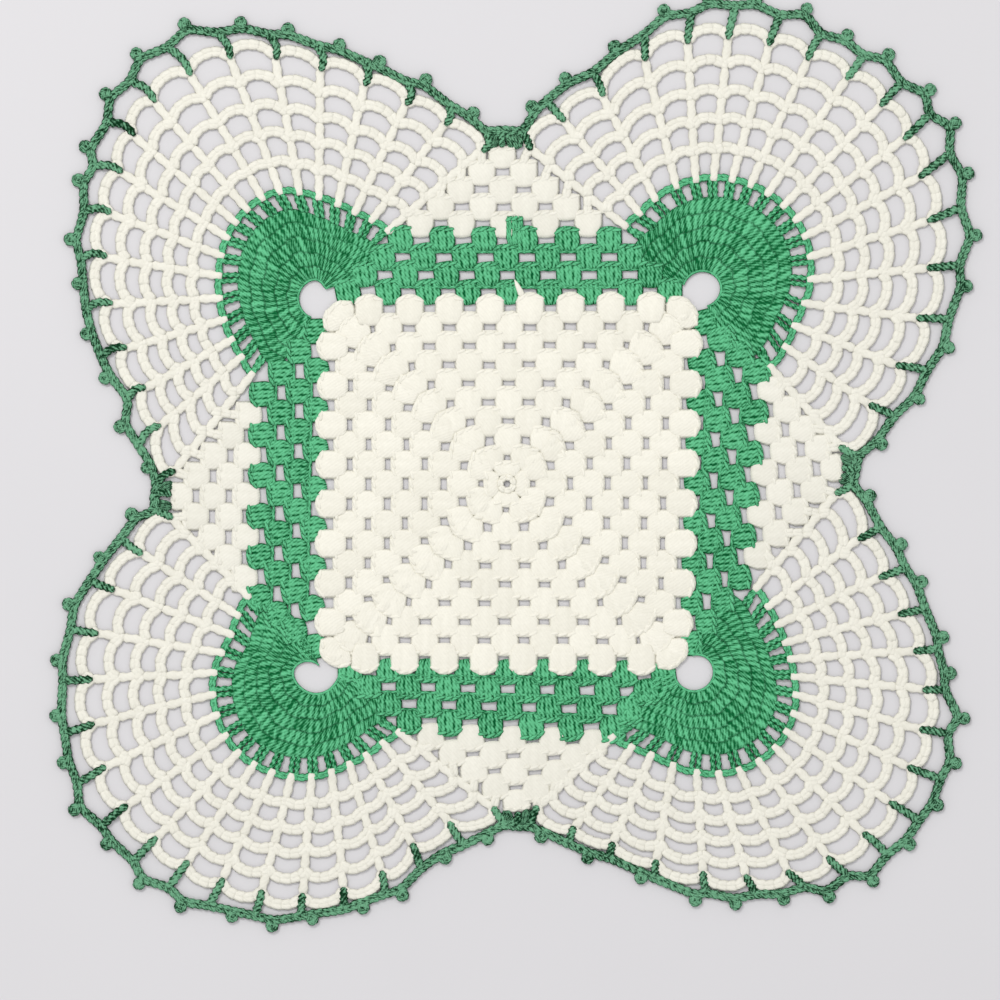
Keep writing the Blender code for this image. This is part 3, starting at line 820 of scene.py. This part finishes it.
def net_lobe(lobe):
    """Five chains on 18 posts."""
    parts = net_posts(lobe)
    for level in range(1, len(ROUND_SHARES)):
        parts.extend(chain(round_chain(lobe, level), **NET_CHAIN))
    return parts


def notch_reach(lobe):
    """From the middle of the side's rim to the tip of the leg in the notch."""
    return np.array(SIDES[lobe][3]) - side_frame(lobe, (SIDE_CLUSTERS - 1) / 2, 1)


def triangle(lobe):
    """Five, four, three, two and one clusters that fill a side's middle, row by row towards the notch."""
    length, foot_width, head_width = TRIANGLE_CLUSTER
    reach = notch_reach(lobe)
    parts = []
    for row in range(SIDE_CLUSTERS):
        base = side_frame(lobe, row / 2 + np.arange(SIDE_CLUSTERS - row), 1)
        top = TRIANGLE_FIRST_TOP + TRIANGLE_PITCH * row
        heads = base + reach * min(top, TRIANGLE_LAST_TOP)
        feet = base + reach * top - length * unit(reach)
        parts.extend(clusters(feet, heads, foot_width, head_width, 0.7, low=0.65, **IVORY))
    return parts


def joins(lobe):
    """Short chains from the ends of the triangle's rows to the nearest posts of the net beside them."""
    reach = notch_reach(lobe)
    ends = np.array((0.0, POSTS - 1.0))
    knots = np.concatenate([lobe_point(name, ends, level_radius(name, ends, level))
                            for name in LOBES for level in range(1, len(ROUND_SHARES))])
    share = np.linspace(0, 1, 9)[:, None]
    parts = []
    for row in range(SIDE_CLUSTERS - 1):
        for place in (row / 2, SIDE_CLUSTERS - 1 - row / 2):
            start = side_frame(lobe, place, 1) + reach * (TRIANGLE_FIRST_TOP + TRIANGLE_PITCH * (row - 0.25))
            end = knots[np.argmin(np.linalg.norm(knots - start, axis=1))]
            line = start + share * (end - start) + JOIN_BOW * np.sin(np.pi * share) * unit(reach)
            parts.extend(chain(line, **JOIN_CHAIN))
    return parts


# Picot edging

# Legs: half width, how far the tip lies inside the net's edge and how much further the yarn reaches, and the bow
# of those in the top left lobe.
LEG_HALF_WIDTH = 1.8
LEG_LAP = 0.7
LEG_REACH = 0.9
LEG_BOW = 1.7

# Picots: radius of the ring, how far its middle lies outside the turn of the chain, and its stitches.
PICOT_RADIUS = 1.6
PICOT_OFFSET = 1.9
PICOT_THICK = 0.95
PICOT_WIDTH = 2.4
PICOT_HEIGHT = 1.25

# The edging's chain is rounded on this many points, over a window of a few of them.
RING_POINTS = 2400
RING_WINDOW = 9


def leg_stations():
    """Each leg's root on the chain and its tip on the net."""
    roots, tips = [], []
    for lobe in LOBES:
        posts = np.arange(POSTS)
        way_out = polar(lobe_value(lobe, 1, posts) + lobe_value(lobe, 4, posts))
        roots.extend(np.array(LOBES[lobe][0]) + lobe_value(lobe, 5, posts)[:, None] * way_out)
        tips.extend(lobe_point(lobe, posts, lobe_value(lobe, 3, posts) - LEG_LAP))
        root, tip = (np.array(point) for point in SIDES[lobe][2:])
        roots.append(root)
        tips.append(tip)
    return np.array(roots), np.array(tips)


def picot_places():
    """Where the chain turns under each picot, the way out from the lobe there, and the leg before it."""
    corners, ways, legs = [], [], []
    for number, lobe in enumerate(LOBES):
        angle, peak = np.array(PICOTS[lobe]).T
        way = polar(angle)
        corner = peak - PICOT_OFFSET - PICOT_RADIUS - PICOT_THICK
        corners.append(np.array(LOBES[lobe][0]) + corner[:, None] * way)
        ways.append(way)
        legs.append(number * (POSTS + 1) + np.arange(POSTS - 1))
    return np.concatenate(corners), np.concatenate(ways), np.concatenate(legs)


def ring_line():
    """The edging's chain: from each leg's root straight to the turn under a picot and on to the next root.

    The turns are then rounded by a moving average along the chain, which is a product of spectra.
    """
    roots, _ = leg_stations()
    corners, _, legs = picot_places()
    line = ring_of(np.insert(roots, legs + 1, corners, axis=0))
    dense = at_marks(line, np.linspace(0, run_along(line)[-1], RING_POINTS, endpoint=False))
    window = np.hanning(RING_WINDOW)
    window = np.pad(window / window.sum(), (0, RING_POINTS - RING_WINDOW))
    spectrum = np.fft.rfft(np.roll(window, -(RING_WINDOW // 2)))[:, None]
    return np.fft.irfft(np.fft.rfft(dense, axis=0) * spectrum, RING_POINTS, axis=0)


def picots():
    """Small closed rings of four chain stitches on the outside of the edging's chain."""
    corners, ways, _ = picot_places()
    middle = corners + ways * PICOT_OFFSET
    size = PICOT_RADIUS * (1 + rng.normal(0, 0.05, len(middle)))[:, None]
    first = np.degrees(np.arctan2(ways[:, 1], ways[:, 0])) + 45 + rng.normal(0, 12, len(middle))
    parts = []
    for quarter in range(4):
        start = middle + size * polar(first + quarter * 90)
        end = middle + size * polar(first + quarter * 90 + 90)
        parts.extend(loops(start, end, PICOT_WIDTH, PICOT_THICK * 0.85, PICOT_HEIGHT, 0.2))
    return parts


def notch_clusters(roots, tips):
    """Two short clusters in each notch, between the side's own leg and the legs next to it."""
    sides = np.arange(len(LOBES)) * (POSTS + 1) + POSTS
    apart = np.linalg.norm(roots[sides][:, None] - roots[None], axis=2)
    near = np.argsort(apart, axis=1)[:, 1:3]
    own = np.repeat(sides, 2)
    other = near.ravel()
    heads = (roots[own] + roots[other]) / 2
    feet = (tips[own] + tips[other]) / 2
    width = np.linalg.norm(roots[own] - roots[other], axis=1)
    return clusters(feet, heads, width * 0.6, width * 0.85, 0.4, low=0.7)


def edging():
    """Legs that narrow towards the net and rise over its edge, chain, picots and the clusters in the notches."""
    roots, tips = leg_stations()
    tips = tips + LEG_REACH * unit(tips - roots)
    in_lobe = list(LOBES).index("top_left")
    bow = np.where(np.arange(len(roots)) // (POSTS + 1) == in_lobe, LEG_BOW, 0.0) + rng.normal(0, 0.2, len(roots))
    share = np.linspace(0, 1, LEG_STATIONS)
    half_width = LEG_HALF_WIDTH * (1.08 - 0.2 * share)[None]
    height = 1.15 + 0.5 * np.clip((share - 0.6) / 0.4, 0, 1)
    legs = stitches(roots, tips, half_width, 0.95, height, 2.3, bow, lift=0.1, waist=0.34, stations=LEG_STATIONS)
    return [legs] + chain(ring_line(), **RING_CHAIN, closed=True) + picots() + notch_clusters(roots, tips)


# Finishes


class Number:
    """A number in a material, and the sums a shader does on it."""

    def __init__(self, finish, socket):
        self.finish = finish
        self.socket = socket

    def sum_of(self, operation, first, second):
        return self.finish.node("ShaderNodeMath", {"operation": operation}, {0: first, 1: second})

    def __add__(self, other):
        return self.sum_of("ADD", self, other)

    __radd__ = __add__

    def __mul__(self, other):
        return self.sum_of("MULTIPLY", self, other)

    __rmul__ = __mul__

    def __sub__(self, other):
        return self.sum_of("SUBTRACT", self, other)

    def __rsub__(self, other):
        return self.sum_of("SUBTRACT", other, self)


class Finish:
    """One material and the nodes that make it."""

    def __init__(self, name):
        self.material = bpy.data.materials.new(name)
        self.material.use_nodes = True
        self.tree = self.material.node_tree
        self.shader = self.tree.nodes["Principled BSDF"]

    def node(self, kind, settings=None, inputs=None, output=0):
        """A node of that kind, its settings first and then its sockets' values or links, as one of its outputs."""
        made = self.tree.nodes.new(kind)
        for name, value in (settings or {}).items():
            setattr(made, name, value)
        self.fill(made, inputs or {})
        return Number(self, made.outputs[output])

    def fill(self, node, inputs):
        """Gives a node's sockets their values or links."""
        for name, value in inputs.items():
            if isinstance(value, Number):
                self.tree.links.new(value.socket, node.inputs[name])
            else:
                node.inputs[name].default_value = value


# Plies round a strand and their pitch along it. The scales of the noises are in cycles for each metre.
PLIES = 5
PLY_PITCH = 1.9
FUZZ, CLUMPS, PATCHES = 2400.0, 700.0, 45.0


def cotton(name, deep, light, depth, twist, drift, mottle, relief):
    """Soft cotton with painted shade: darker in its folds and underneath and lighter on its crests, with fine plies,
    fuzz, and a random shade for each stitch.

    The plies are sin(2 pi (5 v + u / 1.9)), with u the length along a strand in mm and v the share round it.
    The colour goes from deep to light with 0.5 + depth (crest - 0.55) + twist (plies - 0.5) + drift (shade - 0.5)
    + mottle times the noises, each less its middle. The crest and plies terms are painted shade, in the folds,
      underneath and in the grooves between the plies; the shade and noise terms are the yarn's random tone.
    """
    finish = Finish(name)
    uv = finish.node("ShaderNodeUVMap", {"uv_map": "yarn"})
    u, v = (finish.node("ShaderNodeSeparateXYZ", None, {0: uv}, output) for output in (0, 1))
    phase = (PLIES * v + u * (1 / PLY_PITCH)) * (2 * math.pi)
    plies = finish.node("ShaderNodeMath", {"operation": "SINE"}, {0: phase}) * 0.5 + 0.5
    place = finish.node("ShaderNodeTexCoord", None, None, 3)
    fuzz = finish.node("ShaderNodeTexNoise", None, {"Vector": place, "Scale": FUZZ, "Detail": 3.0, "Roughness": 0.65})
    clumps = finish.node("ShaderNodeTexNoise", None, {"Vector": place, "Scale": CLUMPS, "Detail": 2.0})
    patches = finish.node("ShaderNodeTexNoise", None, {"Vector": place, "Scale": PATCHES, "Detail": 2.0})
    shade = finish.node("ShaderNodeAttribute", {"attribute_name": "shade"}, None, 2)
    crest_and_painted_shade = finish.node("ShaderNodeAttribute", {"attribute_name": "crest_and_painted_shade"}, None, 2)
    # Painted shade from the crest and the plies; random tone from the shade and the noises.
    lightness = ((crest_and_painted_shade - 0.55) * depth + 0.5 + (plies - 0.5) * twist + (shade - 0.5) * drift
                 + ((patches - 0.5) * 0.4 + (clumps - 0.5) * 1.2 + (fuzz - 0.5) * 0.8) * mottle)
    colour = finish.node("ShaderNodeMix", {"data_type": "RGBA", "clamp_factor": True},
                         {0: lightness, 6: deep, 7: light}, 2)
    bump = finish.node("ShaderNodeBump", None,
                       {"Height": plies * 0.6 + fuzz * 0.5 + clumps * 0.8, "Strength": relief, "Distance": 0.0003})
    finish.fill(finish.shader, {
        "Base Color": colour,
        "Roughness": 0.84 + fuzz * 0.12,
        "Normal": bump,
        "Sheen Weight": 0.02,
        "Specular IOR Level": 0.12,
    })
    return finish.material


def surface():
    """Plain pale surface, matt and very slightly mottled."""
    finish = Finish("pale_surface")
    place = finish.node("ShaderNodeTexCoord", None, None, 3)
    mottle = finish.node("ShaderNodeTexNoise", None, {"Vector": place, "Scale": 9.0, "Detail": 3.0})
    colour = finish.node("ShaderNodeMix", {"data_type": "RGBA"},
                         {0: mottle, 6: (0.65, 0.643, 0.667, 1.0), 7: (0.675, 0.668, 0.692, 1.0)}, 2)
    finish.fill(finish.shader, {"Base Color": colour, "Roughness": 0.6 + mottle * 0.1, "Specular IOR Level": 0.3})
    return finish.material


# Flat sizes


def enclosed(outline):
    """Area inside a closed outline in square millimetres: half the sum of x dy - y dx."""
    x, y = outline.T
    return abs(np.sum(x * np.roll(y, -1) - y * np.roll(x, -1))) / 2


def rim_line(lobe):
    """The rim of a fan, post by post and between them."""
    at = np.linspace(0, POSTS - 1, 60)
    return lobe_point(lobe, at, lobe_value(lobe, 2, at))


def net_outline(lobe):
    """Outline of a quarter of the net: out along the edge, over the side's notch, back along the rim."""
    foot = side_frame(lobe, (SIDE_CLUSTERS - 0.6, -0.4), 0.9)
    return np.concatenate((round_chain(lobe, 5), [SIDES[lobe][3]], foot, rim_line(lobe)[::-1]))


def band_outline(lobe):
    """Outline of a quarter of the band: the fan's rim, the side's rim, the square's side, the eyelet."""
    side = side_frame(lobe, (-0.5, 4.5, 5.5, -1.5), (1, 1, 0, 0))
    return np.concatenate((rim_line(lobe), side, fan_edge(lobe, np.linspace(110, -110, 20), 0)))


# Assembly

# Each yarn: colours in its folds and on its crests, the ends of its painted shade and painted light; depth of that
# painted shade, twist (painted shade between the plies), drift, mottle and relief.
ivory = cotton("ivory_yarn", (0.745, 0.725, 0.635, 1.0), (0.88, 0.86, 0.77, 1.0), 0.5, 0.12, 0.3, 0.6, 0.3)
net_ivory = cotton("ivory_net_yarn", (0.715, 0.7, 0.62, 1.0), (0.84, 0.825, 0.745, 1.0), 0.5, 0.12, 0.3, 0.6, 0.3)
green = cotton("green_yarn", (0.0, 0.115, 0.03, 1.0), (0.135, 0.55, 0.28, 1.0), 1.5, 0.5, 0.3, 1.3, 0.7)
edge_green = cotton("green_edging_yarn", (0.0, 0.03, 0.008, 1.0), (0.163, 0.405, 0.24, 1.0), 1.1, 0.8, 0.5, 3.0, 0.9)

square = piece("centre_square_yarn", centre_square(), ivory)
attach(square, "root")
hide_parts("centre_square")

for lobe in LOBES:
    net = piece("ivory_net_" + lobe, net_lobe(lobe) + triangle(lobe) + joins(lobe), net_ivory)
    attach(net, "root")
    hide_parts("ivory_border")
    outline = net_outline(lobe)

    band = piece("green_band_" + lobe, band_side(lobe) + fan(lobe) + open_round(lobe), green)
    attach(band, "root")
    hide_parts("green_band")
    outline = band_outline(lobe)

trim = piece("picot_edging_yarn", edging(), edge_green)
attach(trim, "root")
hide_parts("picot_edging")
outer = ring_line()
run_along(ring_of(outer))[-1]
enclosed(outer) - enclosed(leg_stations()[1])

# Stage: a plain pale surface, a soft lamp at the upper left and an even sky, seen from straight above.

VIEW_WIDTH = 0.36
VIEW_CENTRE = (-0.00396, -0.00648)
CAMERA_HEIGHT = 1.6
SENSOR = 36.0
FLOOR_HALF = 1.6
FLOOR_TOP = -0.0001
LAMP_PLACE = (-0.6, 0.9, 1.45)

corners = [(x * FLOOR_HALF, y * FLOOR_HALF, FLOOR_TOP) for x, y in ((-1, -1), (1, -1), (1, 1), (-1, 1))]
floor_mesh = bpy.data.meshes.new("pale_surface")
floor_mesh.from_pydata(corners, [], [(0, 1, 2, 3)])
floor_mesh.materials.append(surface())
floor = placed("pale_surface", floor_mesh)

lens = bpy.data.cameras.new("camera")
lens.sensor_width = SENSOR
lens.lens = SENSOR * CAMERA_HEIGHT / VIEW_WIDTH
bpy.context.scene.camera = placed("camera", lens, (*VIEW_CENTRE, CAMERA_HEIGHT))

lamp_data = bpy.data.lights.new("soft_lamp", "AREA")
lamp_data.energy = 12.0
lamp_data.size = 0.5
lamp_data.color = (1.0, 0.985, 0.96)
lamp = placed("soft_lamp", lamp_data, LAMP_PLACE)
x, y, z = LAMP_PLACE
lamp.rotation_euler = (math.atan2(math.hypot(x, y), z), 0.0, math.atan2(y, x) + math.pi / 2)

world = bpy.data.worlds.new("soft_sky")
bpy.context.scene.world = world
world.use_nodes = True
sky = world.node_tree.nodes["Background"].inputs
sky["Color"].default_value = (1.0, 0.995, 0.99, 1.0)
sky["Strength"].default_value = 0.84
bpy.context.scene.view_settings.view_transform = "Standard"
